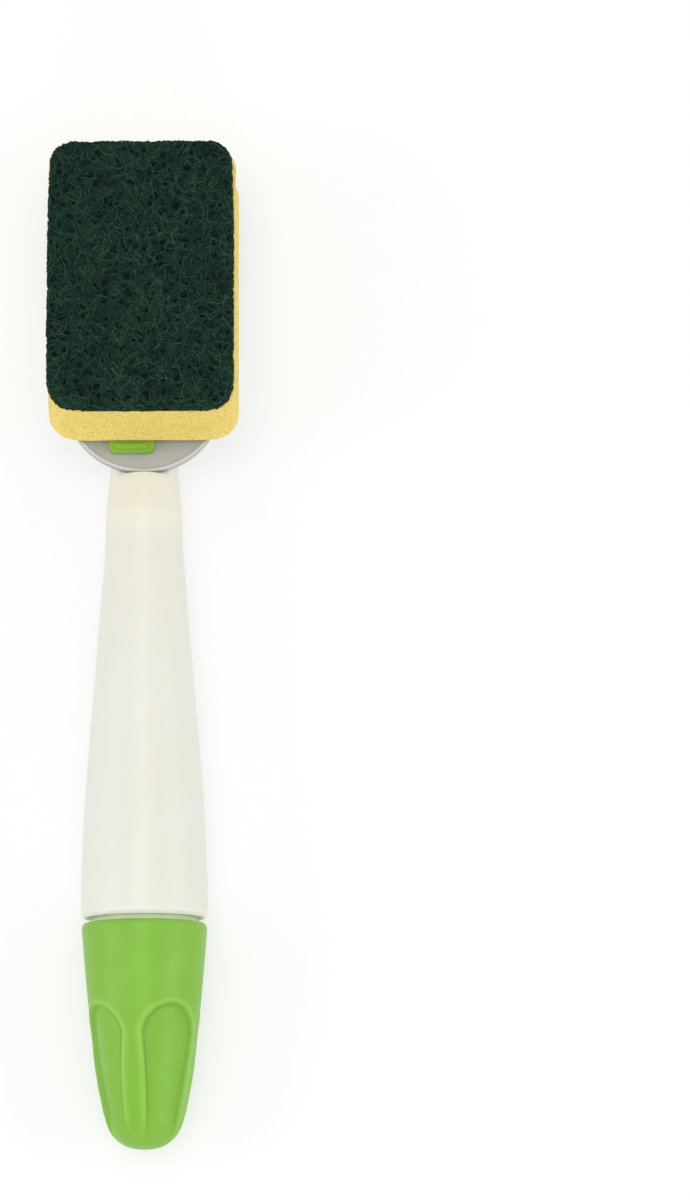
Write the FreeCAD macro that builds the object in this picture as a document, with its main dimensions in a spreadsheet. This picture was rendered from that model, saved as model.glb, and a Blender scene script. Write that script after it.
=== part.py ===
import FreeCAD, Part
import math
import os

import Sketcher

# Dish wand lying on its back: a hollow handle for washing-up liquid, with a screw cap at one
# end and a clip-on sponge refill at the other. +Z is up, +Y runs from the cap to the sponge,
# and the origin is on the surface that it lies on, under the middle of its length.

Vector = FreeCAD.Vector

sizes = {
    # Handle: a tapering barrel, a bent waist, and a keel and bowl behind the head plate
    "tank_end_radius": 18.4,
    "tank_edge_bevel": 1.0,
    "tank_wall": 1.6,
    "waist_radius": 11.2,
    "waist_curve": 60.0,
    "bend_radius": 60.0,
    "heel_gap": 0.3,
    "keel_tip_radius": 5.4,
    "channel_radius": 5.0,
    "bowl_radius": 19.3,
    "bowl_floor_radius": 12.5,
    "bowl_depth": 12.2,
    "neck_radius": 15.2,
    "neck_bore_radius": 12.8,
    "neck_length": 13.0,
    "outlet_clearance": 0.3,
    # Head plate: round heel towards the handle, hinge rod along the tip
    "head_reach": 129.6,
    "head_tilt": 11.0,
    "head_lift": 5.0,
    "plate_length": 88.4,
    "plate_half_width": 23.0,
    "plate_thickness": 2.4,
    "plate_tip_corner": 12.0,
    "plate_edge_bevel": 0.5,
    "outlet_reach": 47.0,
    "boss_radius": 9.5,
    "boss_depth": 3.0,
    "valve_seat_radius": 7.0,
    "valve_seat_depth": 4.0,
    "valve_port_radius": 4.2,
    "socket_reach": 18.0,
    "socket_radius": 3.3,
    # Slit valve and the ring that holds it
    "valve_clearance": 0.2,
    "valve_flange": 1.2,
    "valve_nose_radius": 3.6,
    "valve_nose_rise": 1.5,
    "valve_slit_radius": 2.7,
    "valve_skin": 0.8,
    "slit_length": 3.4,
    "slit_width": 0.3,
    "retainer_height": 2.4,
    "retainer_bore_radius": 4.4,
    # Refill plate: hook at the tip, snap peg and pull tab at the heel
    "refill_clearance": 0.3,
    "refill_thickness": 3.0,
    "refill_inset": 2.5,
    "refill_heel_inset": 1.0,
    "refill_corner": 7.0,
    "window_radius": 9.0,
    "hook_wall": 1.8,
    "hook_wrap": 70.0,
    "hook_end_gap": 0.5,
    "peg_clearance": 0.3,
    "peg_depth": 2.0,
    "tab_width": 13.2,
    "tab_show": 3.4,
    "tab_thickness": 2.0,
    "tab_corner": 2.0,
    "tab_root": 4.0,
    "tab_offset": 3.4,
    "grip_height": 0.7,
    "grip_length": 1.4,
    "grip_inset": 0.7,
    "grip_corner": 0.5,
    # Sponge: foam block with the scourer bonded on top
    "heel_show": 8.8,
    "foam_length": 82.3,
    "foam_width": 54.8,
    "foam_thickness": 23.0,
    "foam_corner": 7.0,
    "foam_drawn_in": 0.5,
    "scourer_thickness": 6.0,
    "scourer_inset": 0.4,
    "scourer_edge_bevel": 0.8,
    # Screw cap
    "cap_gap": 1.5,
    "cap_length": 65.3,
    "cap_rim_radius": 18.3,
    "cap_knee": 42.0,
    "cap_knee_radius": 14.3,
    "cap_tip_radius": 12.0,
    "cap_wall": 1.8,
    "hollow_step": 29.0,
    "hollow_depth": 52.0,
    "cap_clocking": 29.0,
    "thread_room": 0.8,
    "flute_depth": 1.4,
    "flute_start": 22.6,
    "flute_half_width": 8.2,
    "flute_end_half_width": 5.2,
    "flute_end_inset": 4.0,
    "flute_end_depth": 0.3,
    "seal_thickness": 1.6,
    "seal_clearance": 0.2,
    # How far every cutting shape runs past what it cuts
    "overrun": 2.0,
}
flute_count = 4
slit_count = 2
# How close, of the overrun, an edge lies to the level that it is picked by
match_share = 0.001

# The barrel's side curve, of the curve that would run on into the waist with no straight
barrel_curve_share = 0.6
# The keel's bend, of the head's tilt, and its axis below the plate, of the waist's radius
bend_share = 0.5
keel_depth_share = 0.6

doc = FreeCAD.newDocument("dish_wand")
sheet = doc.addObject("Spreadsheet::Sheet", "dim")
for row, (alias, number) in enumerate(sizes.items(), start=1):
    sheet.set(f"A{row}", alias)
    sheet.set(f"B{row}", str(number))
    sheet.setAlias(f"B{row}", alias)
doc.recompute()

# Places that several pieces share, worked out from the sheet
axis_height = "dim.tank_end_radius"
hook_reach = "(dim.plate_length - dim.plate_thickness / 2)"
hook_inner = "(dim.plate_thickness / 2 + dim.refill_clearance)"
hook_outer = f"({hook_inner} + dim.hook_wall)"
refill_top = "(dim.refill_clearance + dim.refill_thickness)"
foam_tip = "(dim.heel_show + dim.foam_length)"
sponge_top = f"({refill_top} + dim.foam_thickness + dim.scourer_thickness)"
heel_height = (
    f"(dim.head_lift + {hook_outer} + {hook_reach} * sin(dim.head_tilt)"
    " + dim.plate_thickness / 2 * cos(dim.head_tilt))"
)
sponge_reach = (
    f"(dim.head_reach + ({foam_tip} - dim.scourer_inset) * cos(dim.head_tilt)"
    f" + ({sponge_top} - dim.scourer_edge_bevel) * sin(dim.head_tilt))"
)
shoulder_place = f"((dim.cap_gap + dim.cap_length - {sponge_reach}) / 2)"
heel_place = f"({shoulder_place} + dim.head_reach)"


def head_place(along, above):
    """Expressions for Y and Z of a point on the head, from the heel along and above the plate."""
    place_y = f"{heel_place} + ({along}) * cos(dim.head_tilt) + ({above}) * sin(dim.head_tilt)"
    place_z = f"{heel_height} - ({along}) * sin(dim.head_tilt) + ({above}) * cos(dim.head_tilt)"
    return f"({place_y})", f"({place_z})"


# The handle's centre line: level to the bend, then sloping under the plate to the outlet
bend = f"({bend_share} * dim.head_tilt)"
keel_y, keel_z = head_place("0", f"-(dim.plate_thickness + {keel_depth_share} * dim.waist_radius)")
bend_start = (
    f"({keel_y} - ({axis_height} - {keel_z}) / tan({bend}) - dim.bend_radius * tan({bend} / 2))"
)
bend_end_y = f"({bend_start} + dim.bend_radius * sin({bend}))"
bend_end_z = f"({axis_height} - dim.bend_radius * (1 - cos({bend})))"
keel_length = (
    f"(({keel_y} - {bend_end_y}) / cos({bend})"
    f" + dim.outlet_reach / cos(dim.head_tilt - {bend}))"
)
bend_back = f"(2 * dim.bend_radius * tan({bend} / 2) + dim.overrun)"
waist_reach = f"({bend_start} - {shoulder_place})"
waist_step = "(dim.tank_end_radius - dim.waist_radius)"
barrel_curve = f"({barrel_curve_share} * ({waist_reach}^2 + {waist_step}^2) / (2 * {waist_step}))"

# The floor of the cap's flutes, along its side to the knee and on to its round tip
knee_floor = "(dim.cap_knee_radius - dim.flute_depth)"
flute_end = "(dim.cap_length - dim.flute_end_inset)"
flute_end_radius = (
    "(sqrt(2 * dim.cap_tip_radius * dim.flute_end_inset - dim.flute_end_inset^2)"
    " - dim.flute_end_depth)"
)
deep_floor = (
    f"({knee_floor} + (dim.hollow_depth - dim.cap_knee) / ({flute_end} - dim.cap_knee)"
    f" * ({flute_end_radius} - {knee_floor}))"
)


def value(expression):
    return float(sheet.evalExpression(expression))


def put(piece, place_y, place_z, turn):
    """Place a piece in the plane of symmetry, turned about X."""
    piece.Placement = FreeCAD.Placement(Vector(), FreeCAD.Rotation(Vector(1, 0, 0), 90))
    piece.setExpression("Placement.Base.y", place_y)
    piece.setExpression("Placement.Base.z", place_z)
    piece.setExpression("Placement.Rotation.Angle", turn)


def on_keel(along):
    """Expressions for Y and Z of a point on the keel's axis, from the end of the bend."""
    return f"{bend_end_y} + {along} * cos({bend})", f"{bend_end_z} - {along} * sin({bend})"


def put_on_head(piece, along="0", above="0"):
    put(piece, *head_place(along, above), "-dim.head_tilt")


def new_body(name):
    body = doc.addObject("PartDesign::Body", name)
    body.Label = name
    return body


def origin_part(body, role):
    return next(part for part in body.Origin.OriginFeatures if part.Role == role)


def new_sketch(body, name, plane, lift=None):
    sketch = body.newObject("Sketcher::SketchObject", name)
    sketch.AttachmentSupport = (origin_part(body, plane), [""])
    sketch.MapMode = "FlatFace"
    if lift:
        sketch.setExpression("AttachmentOffset.Base.z", lift)
    return sketch


def bind(sketch, kind, ends, expression):
    """Add a dimension to the sketch that follows the sheet."""
    index = sketch.addConstraint(Sketcher.Constraint(kind, *ends, value(expression)))
    sketch.setExpression(f"Constraints[{index}]", expression)


def rules(sketch, *constraints):
    sketch.addConstraint([Sketcher.Constraint(*constraint) for constraint in constraints])


def line(x0, y0, x1, y1):
    return Part.LineSegment(Vector(x0, y0, 0), Vector(x1, y1, 0))


def arc(x, y, radius, start, end):
    circle = Part.Circle(Vector(x, y, 0), Vector(0, 0, 1), radius)
    return Part.ArcOfCircle(circle, start, end)


def circle(sketch, radius, along=None):
    """Circle on the sketch's vertical axis, or at the origin when no place is given."""
    height = value(along) if along else 0
    index = sketch.addGeometry(Part.Circle(Vector(0, height, 0), Vector(0, 0, 1), value(radius)))
    bind(sketch, "Radius", (index,), radius)
    if along:
        rules(sketch, ("PointOnObject", index, 3, -2))
        bind(sketch, "DistanceY", (-1, 1, index, 3), along)
    else:
        rules(sketch, ("Coincident", index, 3, -1, 1))


def pin(sketch, index, across, up):
    """Fix where a line of the sketch starts."""
    for kind, axis, place in (("DistanceX", -2, across), ("DistanceY", -1, up)):
        if place == "0":
            rules(sketch, ("PointOnObject", index, 1, axis))
        else:
            bind(sketch, kind, (-1, 1, index, 1), place)


def polygon(sketch, places):
    """Closed outline of straight lines through places, each given across and up."""
    points = [(value(across), value(up)) for across, up in places]
    count = len(points)
    sketch.addGeometry([line(*points[i], *points[(i + 1) % count]) for i in range(count)])
    rules(sketch, *(("Coincident", i, 2, (i + 1) % count, 1) for i in range(count)))
    for i, (across, up) in enumerate(places):
        pin(sketch, i, across, up)


def rounded_rectangle(sketch, half_width, low, high, corner):
    """Rectangle about the vertical axis with equal round corners, low and high from the origin."""
    side, base, top, radius = (value(size) for size in (half_width, low, high, corner))
    sketch.addGeometry([
        line(radius - side, base, side - radius, base),
        arc(side - radius, base + radius, radius, -math.pi / 2, 0),
        line(side, base + radius, side, top - radius),
        arc(side - radius, top - radius, radius, 0, math.pi / 2),
        line(side - radius, top, radius - side, top),
        arc(radius - side, top - radius, radius, math.pi / 2, math.pi),
        line(-side, top - radius, -side, base + radius),
        arc(radius - side, base + radius, radius, math.pi, 1.5 * math.pi),
    ])
    rules(sketch, *(("Tangent", i, 2, (i + 1) % 8, 1) for i in range(8)))
    rules(sketch, ("Horizontal", 0), ("Vertical", 2), ("Horizontal", 4), ("Vertical", 6))
    rules(sketch, ("Equal", 1, 3), ("Equal", 1, 5), ("Equal", 1, 7))
    bind(sketch, "Radius", (1,), corner)
    bind(sketch, "DistanceX", (-1, 1, 2, 1), half_width)
    bind(sketch, "DistanceX", (6, 1, -1, 1), half_width)
    bind(sketch, "DistanceY", (-1, 1, 0, 1), low)
    bind(sketch, "DistanceY", (-1, 1, 4, 1), high)


def extrude(body, kind, name, sketch, length, reverse=False):
    """Pad or Pocket of a given length."""
    feature = body.newObject(f"PartDesign::{kind}", name)
    feature.Profile = sketch
    feature.Reversed = reverse
    feature.setExpression("Length", length)
    return feature


def pocket_through(body, name, sketch):
    feature = body.newObject("PartDesign::Pocket", name)
    feature.Profile = sketch
    feature.Type = "ThroughAll"
    return feature


def turn_about_axis(body, kind, name, sketch):
    """Revolution or Groove about the sketch's vertical axis."""
    feature = body.newObject(f"PartDesign::{kind}", name)
    feature.Profile = sketch
    feature.ReferenceAxis = (sketch, ["V_Axis"])
    feature.Angle = 360
    return feature


def polar(body, name, original, count):
    feature = body.newObject("PartDesign::PolarPattern", name)
    feature.Originals = [original]
    feature.Axis = (origin_part(body, "Z_Axis"), [""])
    feature.Angle = 360
    feature.Occurrences = count
    body.Tip = feature
    return feature


def bevel_edges(body, name, size, chosen):
    """Bevel the edges of the body's tip that the chosen test picks."""
    doc.recompute()
    base = body.Tip
    picked = [f"Edge{i}" for i, edge in enumerate(base.Shape.Edges, start=1) if chosen(edge)]
    feature = body.newObject("PartDesign::Chamfer", name)
    feature.Base = (base, picked)
    feature.setExpression("Size", size)


def near(first, second):
    return math.isclose(first, second, abs_tol=value("dim.overrun") * match_share)


# Handle: a turned barrel, a bent waist and a keel that sinks into a bowl under the plate.
# The same shapes, drawn in by the wall, give its inside.


def barrel_body(name, corners, rise, wall):
    """Turn the barrel: corners from the mouth, then its side arc, taper and waist arc."""
    body = new_body(name)
    put(body, shoulder_place, axis_height, "-90")
    sketch = new_sketch(body, f"{name}_outline", "XZ_Plane")
    long_curve, waist_curve = f"{barrel_curve} - {wall}", f"dim.waist_curve + {wall}"
    waist_radius = f"dim.waist_radius - {wall}"

    side, waist, reach = value(long_curve), value(waist_curve), value(waist_reach)
    side_x, waist_x = value(f"dim.tank_end_radius - {barrel_curve}"), value(waist_radius) + waist
    gap = waist_x - side_x
    straight = math.sqrt(reach ** 2 + gap ** 2 - (side + waist) ** 2)
    slope = math.atan2(reach, gap) - math.atan2(straight, side + waist)
    leave = math.asin(value(rise) / side)
    points = [(value(across), value(up)) for across, up in corners]
    points.append((side_x + side * math.cos(leave), value(rise)))
    sketch.addGeometry([line(*first, *second) for first, second in zip(points, points[1:])] + [
        arc(side_x, 0, side, leave, slope),
        line(
            side_x + side * math.cos(slope), side * math.sin(slope),
            waist_x - waist * math.cos(slope), reach - waist * math.sin(slope),
        ),
        arc(waist_x, reach, waist, math.pi, math.pi + slope),
        line(waist_x - waist, reach, 0, reach),
        line(0, reach, *points[0]),
    ])

    turn = len(corners)
    taper, hollow, closing, axis = turn + 1, turn + 2, turn + 3, turn + 4
    rules(sketch, *(("Coincident", i, 2, i + 1, 1) for i in range(turn)))
    rules(
        sketch,
        ("Tangent", turn, 2, taper, 1),
        ("Tangent", taper, 2, hollow, 2),
        ("Coincident", hollow, 1, closing, 1),
        ("Coincident", closing, 2, axis, 1),
        ("Coincident", axis, 2, 0, 1),
        ("Horizontal", closing),
        ("PointOnObject", axis, 1, -2),
        ("PointOnObject", turn, 3, -1),
        ("Horizontal", hollow, 1, hollow, 3),
    )
    for i, (across, up) in enumerate(corners):
        pin(sketch, i, across, up)
    bind(sketch, "DistanceY", (-1, 1, turn, 1), rise)
    bind(sketch, "Radius", (turn,), long_curve)
    bind(sketch, "DistanceX", (turn, 3, -1, 1), f"{barrel_curve} - dim.tank_end_radius")
    bind(sketch, "Radius", (hollow,), waist_curve)
    bind(sketch, "DistanceX", (-1, 1, hollow, 1), waist_radius)
    bind(sketch, "DistanceY", (-1, 1, hollow, 1), waist_reach)
    turn_about_axis(body, "Revolution", f"{name}_solid", sketch)
    return body


def primitive(kind, name, **sizes_of):
    shape = doc.addObject(f"Part::{kind}", name)
    for size, expression in sizes_of.items():
        shape.setExpression(size, expression)
    return shape


def above_plate(name, level):
    """Box over the plate, from a level measured from its top."""
    box = primitive(
        "Box", name, Length="2 * dim.bowl_radius", Width="dim.plate_length + dim.heel_gap",
        Height="2 * dim.tank_end_radius",
    )
    put_on_head(box, "-dim.heel_gap", level)
    box.setExpression("Placement.Base.x", "-dim.bowl_radius")
    return box


def bowl(name, wall):
    """Round dish behind the outlet, drawn in by a wall."""
    dish = primitive(
        "Cone", name, Radius1=f"dim.bowl_floor_radius - {wall}",
        Radius2=f"dim.bowl_radius - {wall}", Height=f"dim.bowl_depth - {wall}",
    )
    put_on_head(dish, "dim.outlet_reach", f"{wall} - dim.bowl_depth - dim.plate_thickness")
    return dish


def make_keel():
    """Bent waist and tapering keel that sink into the bowl, cut off flat under the plate."""
    elbow = primitive(
        "Torus", "keel_bend", Radius1="dim.bend_radius", Radius2="dim.waist_radius", Angle3=bend
    )
    elbow.Placement = FreeCAD.Placement(Vector(), FreeCAD.Rotation(Vector(0, 1, 0), -90))
    elbow.setExpression("Placement.Base.y", bend_start)
    elbow.setExpression("Placement.Base.z", f"{axis_height} - dim.bend_radius")
    taper = primitive(
        "Cone", "keel_taper", Radius1="dim.waist_radius", Radius2="dim.keel_tip_radius",
        Height=keel_length,
    )
    put(taper, *on_keel("0"), f"-90 - {bend}")
    whole = fuse("keel_whole", elbow, taper, bowl("bowl", "0"))
    return cut("keel", whole, above_plate("over_keel", "-dim.plate_thickness"))


def make_channel():
    """Way for the liquid from the barrel to the bowl and its outlet."""
    bore = primitive(
        "Cylinder", "channel_bore", Radius="dim.channel_radius",
        Height=f"{keel_length} + {bend_back}",
    )
    put(bore, *on_keel(f"-{bend_back}"), f"-90 - {bend}")
    room = fuse("channel_room", bore, bowl("bowl_inside", "dim.tank_wall"))
    level = "-(dim.plate_thickness + dim.tank_wall)"
    outlet = primitive(
        "Cylinder", "tank_outlet", Radius="dim.boss_radius + dim.outlet_clearance",
        Height="dim.tank_wall + 2 * dim.overrun",
    )
    put_on_head(outlet, "dim.outlet_reach", f"{level} - dim.overrun")
    return fuse("channel", cut("channel_below", room, above_plate("over_channel", level)), outlet)


def cut(name, base, tool):
    result = doc.addObject("Part::Cut", name)
    result.Base = base
    result.Tool = tool
    return result


def fuse(name, *shapes):
    result = doc.addObject("Part::MultiFuse", name)
    result.Shapes = list(shapes)
    return result


def make_tank():
    mouth = "-dim.neck_length"
    barrel = barrel_body(
        "barrel",
        [("0", mouth), ("dim.neck_radius", mouth), ("dim.neck_radius", "0"),
         ("dim.tank_end_radius - dim.tank_edge_bevel", "0")],
        "dim.tank_edge_bevel", "0",
    )
    solid = fuse("tank_solid", barrel, make_keel())

    bore_end = f"{mouth} - dim.overrun"
    hollow = barrel_body(
        "barrel_hollow",
        [("0", bore_end), ("dim.neck_bore_radius", bore_end),
         ("dim.neck_bore_radius", "dim.tank_wall")],
        "dim.tank_wall", "dim.tank_wall",
    )
    tank = cut("tank", solid, fuse("tank_room", hollow, make_channel()))
    tank.Label = "tank"
    return tank


# Screw cap: a bullet that narrows faster past its knee, thumb flutes, hollow inside


def bullet(sketch):
    """Half outline of the cap: square rim, side with a knee, round tip on the axis."""
    rim, knee, tip = (value(f"dim.cap_{place}_radius") for place in ("rim", "knee", "tip"))
    knee_y, tall = value("dim.cap_knee"), value("dim.cap_length")
    span = math.hypot(knee, tall - tip - knee_y)
    lean = math.asin(knee / span) - math.asin(tip / span)
    meet_x, meet_y = tip * math.cos(lean), tall - tip + tip * math.sin(lean)
    sketch.addGeometry([
        line(0, 0, rim, 0),
        line(rim, 0, knee, knee_y),
        line(knee, knee_y, meet_x, meet_y),
        arc(0, tall - tip, tip, lean, math.pi / 2),
        line(0, tall, 0, 0),
    ])
    rules(
        sketch,
        ("Coincident", 0, 1, -1, 1),
        ("Horizontal", 0),
        ("Coincident", 0, 2, 1, 1),
        ("Coincident", 1, 2, 2, 1),
        ("Tangent", 2, 2, 3, 1),
        ("PointOnObject", 3, 3, -2),
        ("PointOnObject", 3, 2, -2),
        ("Coincident", 3, 2, 4, 1),
        ("Coincident", 4, 2, 0, 1),
    )
    bind(sketch, "DistanceX", (0, 1, 0, 2), "dim.cap_rim_radius")
    bind(sketch, "DistanceX", (-1, 1, 1, 2), "dim.cap_knee_radius")
    bind(sketch, "DistanceY", (-1, 1, 1, 2), "dim.cap_knee")
    bind(sketch, "Radius", (3,), "dim.cap_tip_radius")
    bind(sketch, "DistanceY", (4, 2, 4, 1), "dim.cap_length")


def floor_radius(height):
    """Radius of the flutes' floor, from the rim to the knee."""
    slope = "(dim.cap_rim_radius - dim.cap_knee_radius) / dim.cap_knee"
    return f"(dim.cap_rim_radius - {height} * {slope} - dim.flute_depth)"


def flute_outline(sketch):
    """Arch that narrows towards the tip of the cap."""
    wide, narrow = value("dim.flute_half_width"), value("dim.flute_end_half_width")
    low = value("dim.flute_start")
    spring = low + wide
    end = value(flute_end)
    sketch.addGeometry([
        arc(0, spring, wide, math.pi, 2 * math.pi),
        line(wide, spring, narrow, end),
        line(narrow, end, -narrow, end),
        line(-narrow, end, -wide, spring),
    ])
    rules(
        sketch,
        ("PointOnObject", 0, 3, -2),
        ("Horizontal", 0, 1, 0, 2),
        ("Coincident", 0, 2, 1, 1),
        ("Coincident", 1, 2, 2, 1),
        ("Coincident", 2, 2, 3, 1),
        ("Coincident", 3, 2, 0, 1),
        ("Symmetric", 2, 1, 2, 2, -2),
        ("Symmetric", 0, 1, 0, 2, 0, 3),
    )
    bind(sketch, "Radius", (0,), "dim.flute_half_width")
    bind(sketch, "DistanceY", (-1, 1, 0, 3), "dim.flute_start + dim.flute_half_width")
    bind(sketch, "DistanceX", (-1, 1, 2, 1), "dim.flute_end_half_width")
    bind(sketch, "DistanceY", (-1, 1, 2, 1), flute_end)


def make_end_cap():
    body = new_body("end_cap")
    put(body, f"{shoulder_place} - dim.cap_gap", axis_height, "90")

    outside = new_sketch(body, "cap_outline", "XZ_Plane")
    bullet(outside)
    turn_about_axis(body, "Revolution", "cap_solid", outside)

    flute = new_sketch(body, "flute_outline", "XZ_Plane")
    flute.AttachmentOffset = FreeCAD.Placement(Vector(), FreeCAD.Rotation(Vector(0, 1, 0), 1))
    flute.setExpression("AttachmentOffset.Rotation.Angle", "-dim.cap_clocking")
    flute_outline(flute)
    polar(body, "flutes", pocket_through(body, "flute", flute), flute_count)

    floor = new_sketch(body, "flute_floor_outline", "XZ_Plane")
    foot = "(dim.flute_start - dim.overrun)"
    polygon(floor, [
        ("0", foot), (floor_radius(foot), foot), (knee_floor, "dim.cap_knee"),
        (flute_end_radius, flute_end), ("0", flute_end),
    ])
    turn_about_axis(body, "Revolution", "flute_floor", floor)

    wide_floor = floor_radius("dim.hollow_step")
    for i, (floor_there, depth) in enumerate(
        ((wide_floor, "dim.hollow_step"), (deep_floor, "dim.hollow_depth"))
    ):
        core = new_sketch(body, f"hollow_outline_{i}", "XY_Plane")
        circle(core, f"{floor_there} - dim.cap_wall")
        extrude(body, "Pocket", f"cap_hollow_{i}", core, depth, reverse=True)

    mouth = new_sketch(body, "mouth_outline", "XY_Plane")
    circle(mouth, "dim.neck_radius + dim.thread_room")
    extrude(
        body, "Pocket", "cap_mouth", mouth, "dim.neck_length - dim.cap_gap + dim.seal_thickness",
        reverse=True,
    )
    return body


def make_cap_seal():
    body = new_body("cap_seal")
    put(body, f"{shoulder_place} - dim.neck_length", axis_height, "90")
    ring = new_sketch(body, "seal_outline", "XY_Plane")
    circle(ring, "dim.neck_radius + dim.thread_room - dim.seal_clearance")
    circle(ring, "dim.neck_bore_radius")
    extrude(body, "Pad", "seal_ring", ring, "dim.seal_thickness")
    return body


# Head plate with its valve


def plate_outline(sketch):
    """Round heel at the origin, straight sides, round tip corners."""
    side, tip = value("dim.plate_half_width"), value(hook_reach)
    corner = value("dim.plate_tip_corner")
    sketch.addGeometry([
        arc(0, side, side, math.pi, 2 * math.pi),
        line(side, side, side, tip - corner),
        arc(side - corner, tip - corner, corner, 0, math.pi / 2),
        line(side - corner, tip, corner - side, tip),
        arc(corner - side, tip - corner, corner, math.pi / 2, math.pi),
        line(-side, tip - corner, -side, side),
    ])
    rules(sketch, *(("Tangent", i, 2, (i + 1) % 6, 1) for i in range(6)))
    rules(
        sketch, ("Vertical", 1), ("Horizontal", 3), ("Equal", 2, 4), ("PointOnObject", 0, 3, -2)
    )
    bind(sketch, "Radius", (0,), "dim.plate_half_width")
    bind(sketch, "DistanceY", (-1, 1, 0, 3), "dim.plate_half_width")
    bind(sketch, "Radius", (2,), "dim.plate_tip_corner")
    bind(sketch, "DistanceY", (-1, 1, 3, 1), hook_reach)


def make_head_plate():
    body = new_body("head_plate")
    put_on_head(body)
    outline = new_sketch(body, "plate_outline", "XY_Plane")
    plate_outline(outline)
    extrude(body, "Pad", "plate", outline, "dim.plate_thickness", reverse=True)

    tip = value(hook_reach)
    bevel_edges(
        body, "plate_edges", "dim.plate_edge_bevel",
        lambda edge: near(edge.CenterOfMass.z, 0) and not near(edge.CenterOfMass.y, tip),
    )

    rod = new_sketch(body, "rod_outline", "YZ_Plane")
    rod.addGeometry(Part.Circle(
        Vector(tip, -value("dim.plate_thickness / 2"), 0), Vector(0, 0, 1),
        value("dim.plate_thickness / 2"),
    ))
    bind(rod, "Radius", (0,), "dim.plate_thickness / 2")
    bind(rod, "DistanceX", (-1, 1, 0, 3), hook_reach)
    bind(rod, "DistanceY", (0, 3, -1, 1), "dim.plate_thickness / 2")
    rod_pad = extrude(
        body, "Pad", "hinge_rod", rod, "2 * (dim.plate_half_width - dim.plate_tip_corner)"
    )
    rod_pad.Midplane = True

    boss = new_sketch(body, "boss_outline", "XY_Plane")
    circle(boss, "dim.boss_radius", "dim.outlet_reach")
    extrude(
        body, "Pad", "outlet_boss", boss, "dim.plate_thickness + dim.boss_depth", reverse=True
    )
    seat = new_sketch(body, "seat_outline", "XY_Plane")
    circle(seat, "dim.valve_seat_radius", "dim.outlet_reach")
    extrude(body, "Pocket", "valve_seat", seat, "dim.valve_seat_depth")
    port = new_sketch(body, "port_outline", "XY_Plane")
    circle(port, "dim.valve_port_radius", "dim.outlet_reach")
    circle(port, "dim.socket_radius", "dim.socket_reach")
    pocket_through(body, "port_and_socket", port)
    return body


def make_outlet_valve():
    body = new_body("outlet_valve")
    put_on_head(body, "dim.outlet_reach", "-dim.valve_seat_depth")
    flange_radius = "dim.valve_seat_radius - dim.valve_clearance"
    crown = "dim.valve_flange + dim.valve_nose_rise"
    profile = new_sketch(body, "valve_outline", "XZ_Plane")
    polygon(profile, [
        ("dim.valve_slit_radius - dim.valve_skin", "0"), (flange_radius, "0"),
        (flange_radius, "dim.valve_flange"), ("dim.valve_nose_radius", "dim.valve_flange"),
        ("dim.valve_slit_radius", crown), ("0", crown), ("0", f"{crown} - dim.valve_skin"),
        ("dim.valve_slit_radius - dim.valve_skin", f"{crown} - dim.valve_skin"),
    ])
    turn_about_axis(body, "Revolution", "valve_cup", profile)

    slit = new_sketch(body, "slit_outline", "XY_Plane")
    half_long, half_wide = value("dim.slit_length / 2"), value("dim.slit_width / 2")
    slit.addGeometry([
        line(-half_long, -half_wide, half_long, -half_wide),
        line(half_long, -half_wide, half_long, half_wide),
        line(half_long, half_wide, -half_long, half_wide),
        line(-half_long, half_wide, -half_long, -half_wide),
    ])
    rules(slit, *(("Coincident", i, 2, (i + 1) % 4, 1) for i in range(4)))
    rules(
        slit, ("Horizontal", 0), ("Vertical", 1), ("Horizontal", 2), ("Vertical", 3),
        ("Symmetric", 0, 1, 1, 2, -1, 1),
    )
    bind(slit, "DistanceX", (0, 1, 0, 2), "dim.slit_length")
    bind(slit, "DistanceY", (1, 1, 1, 2), "dim.slit_width")
    slit_cut = extrude(body, "Pocket", "slit", slit, f"{crown} + dim.overrun", reverse=True)
    crossed = polar(body, "slits", slit_cut, slit_count)
    crossed.Angle = 360 / slit_count
    return body


def make_valve_retainer():
    body = new_body("valve_retainer")
    put_on_head(body, "dim.outlet_reach", "dim.valve_flange - dim.valve_seat_depth")
    ring = new_sketch(body, "retainer_outline", "XY_Plane")
    circle(ring, "dim.valve_seat_radius - dim.valve_clearance")
    circle(ring, "dim.retainer_bore_radius")
    extrude(body, "Pad", "retainer_ring", ring, "dim.retainer_height")
    return body


# Refill: hooked plate with the sponge bonded on


def hook_outline(sketch):
    """C round the plate's hinge rod, from the refill plate's underside to its lip."""
    reach, level = value(hook_reach), -value("dim.plate_thickness / 2")
    inner, outer = value(hook_inner), value(hook_outer)
    wrap = math.radians(value("dim.hook_wrap"))

    def at(radius, angle):
        return reach + radius * math.cos(angle), level + radius * math.sin(angle)

    sketch.addGeometry([
        arc(reach, level, outer, -wrap, math.pi / 2),
        line(*at(outer, math.pi / 2), *at(inner, math.pi / 2)),
        arc(reach, level, inner, -wrap, math.pi / 2),
        line(*at(inner, -wrap), *at(outer, -wrap)),
    ])
    rules(
        sketch,
        ("Coincident", 0, 3, 2, 3),
        ("Coincident", 0, 2, 1, 1),
        ("Coincident", 1, 2, 2, 2),
        ("Coincident", 2, 1, 3, 1),
        ("Coincident", 3, 2, 0, 1),
        ("Vertical", 1),
        ("Vertical", 0, 3, 0, 2),
    )
    bind(sketch, "DistanceX", (-1, 1, 0, 3), hook_reach)
    bind(sketch, "DistanceY", (0, 3, -1, 1), "dim.plate_thickness / 2")
    bind(sketch, "Radius", (0,), hook_outer)
    bind(sketch, "Radius", (2,), hook_inner)
    bind(sketch, "DistanceX", (0, 3, 3, 2), f"{hook_outer} * cos(dim.hook_wrap)")
    bind(sketch, "DistanceX", (0, 3, 3, 1), f"{hook_inner} * cos(dim.hook_wrap)")


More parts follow.
